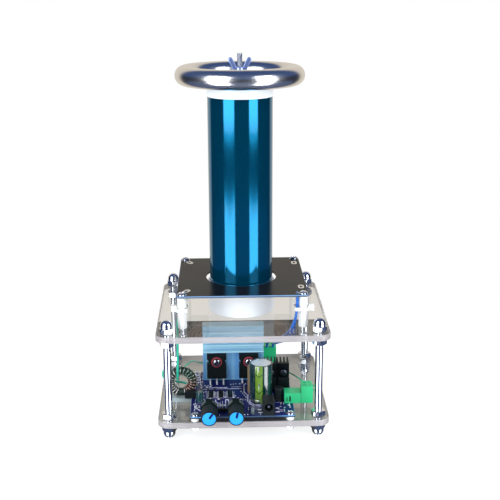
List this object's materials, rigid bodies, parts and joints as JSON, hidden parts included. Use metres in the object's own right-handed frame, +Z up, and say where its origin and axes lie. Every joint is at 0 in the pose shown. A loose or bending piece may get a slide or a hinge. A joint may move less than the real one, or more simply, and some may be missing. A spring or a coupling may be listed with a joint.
{
  "type": "desktop resonant transformer",
  "caption": "Tall blue coil with a polished metal ring on top, on a clear two-plate frame with chrome columns and an open driver board with knobs, heat sink and pluggable terminals.",
  "frame": {"origin": "on the stand plane, under the axis of the tall coil", "axes": "+Z up along the coil, -Y towards the side with the two knobs, +X to the right seen from that side"},
  "size_m": [0.132, 0.1486, 0.2874],
  "materials": {
    "acrylic": "clear acrylic, polished edges",
    "chrome": "polished",
    "steel": "plated",
    "white_plastic": "moulded, natural white",
    "core_pad_foam": "soft pale pad",
    "black_board": "black solder mask",
    "copper_trace": "bare copper",
    "violet_board": "violet-blue solder mask",
    "winding_enamel": "enamelled wire, varnished",
    "form_plastic": "plain tube",
    "electrode_metal": "polished spun metal",
    "blue_aluminium": "blue anodised",
    "black_plastic": "moulded",
    "red_washer": "fibre",
    "capacitor_sleeve": "shrunk sleeve",
    "film_case": "moulded",
    "resistor_body": "fired",
    "led_lens": "clear lens",
    "knob_black": "moulded, fine grip",
    "knob_blue": "moulded",
    "shaft_steel": "turned",
    "terminal_green": "moulded",
    "core_enamel": "enamelled wire",
    "core_ferrite": "sintered",
    "lead_teal": "insulated wire",
    "lead_blue": "insulated wire",
    "lead_dark": "insulated wire"
  },
  "bodies": {
    "chassis": {"board_connectors": "black_plastic", "board_screws": "steel", "board_standoffs": "white_plastic", "bottom_plate": "acrylic", "cable_ties": "white_plastic", "cap_nuts": "chrome", "capacitor_top": "steel", "chip_resistors": "resistor_body", "coil_base_collar": "white_plastic", "coil_form": "form_plastic", "coil_leads": "lead_blue", "coil_top_cap": "white_plastic", "column_nuts": "chrome", "columns": "chrome", "component_legs": "steel", "connector_pins": "steel", "control_chips": "black_plastic", "core_pad": "core_pad_foam", "core_winding": "core_enamel", "current_core": "core_ferrite", "device_screws": "steel", "driver_board": "violet_board", "driver_nuts": "steel", "driver_spacers": "white_plastic", "electrode_stud": "chrome", "film_capacitor": "film_case", "filter_choke": "black_plastic", "heat_sink": "blue_aluminium", "indicator_led": "led_lens", "insulating_washers": "red_washer", "potentiometers": "black_plastic", "power_jack": "black_plastic", "power_jack_pin": "steel", "power_transistors": "black_plastic", "primary_board": "black_board", "primary_trace": "copper_trace", "regulator_heat_sinks": "blue_aluminium", "regulator_tabs": "steel", "regulators": "black_plastic", "reservoir_capacitor": "capacitor_sleeve", "ring_lead": "lead_teal", "secondary_winding": "winding_enamel", "sense_lead": "lead_dark", "small_capacitor": "black_plastic", "terminal_headers": "terminal_green", "top_plate": "acrylic", "tower_nuts": "chrome", "tower_screw": "steel"},
    "left_knob": {"left_knob": "knob_black", "left_knob_cap": "knob_blue", "left_shaft": "shaft_steel"},
    "right_knob": {"right_knob": "knob_black", "right_knob_cap": "knob_blue", "right_shaft": "shaft_steel"},
    "electrode": {"top_electrode": "electrode_metal"},
    "wing_nut": {"wing_nut": "chrome"},
    "side_plug": {"side_plug": "terminal_green", "side_plug_screws": "steel"},
    "rear_plug": {"rear_plug": "terminal_green", "rear_plug_screws": "steel"}
  },
  "joints": [
    {"name": "left_knob_turn", "type": "hinge", "parent": "chassis", "child": "left_knob", "pos_m": [-0.0264, -0.075, 0.027], "axis": [0, 1, 0], "range_deg": [-185, 115]},
    {"name": "right_knob_turn", "type": "hinge", "parent": "chassis", "child": "right_knob", "pos_m": [-0.0061, -0.075, 0.027], "axis": [0, 1, 0], "range_deg": [-163, 137]},
    {"name": "electrode_lift", "type": "slide", "parent": "chassis", "child": "electrode", "axis": [0, 0, 1], "range_m": [0, 0.02]},
    {"name": "wing_nut_spin", "type": "hinge", "parent": "electrode", "child": "wing_nut", "pos_m": [0, 0, 0.278], "axis": [0, 0, 1], "continuous": true},
    {"name": "side_plug_pull", "type": "slide", "parent": "chassis", "child": "side_plug", "axis": [1, 0, 0], "range_m": [0, 0.009], "deforming": ["sense_lead"]},
    {"name": "rear_plug_pull", "type": "slide", "parent": "chassis", "child": "rear_plug", "axis": [0, 0, 1], "range_m": [0, 0.009], "deforming": ["coil_leads"]}
  ]
}
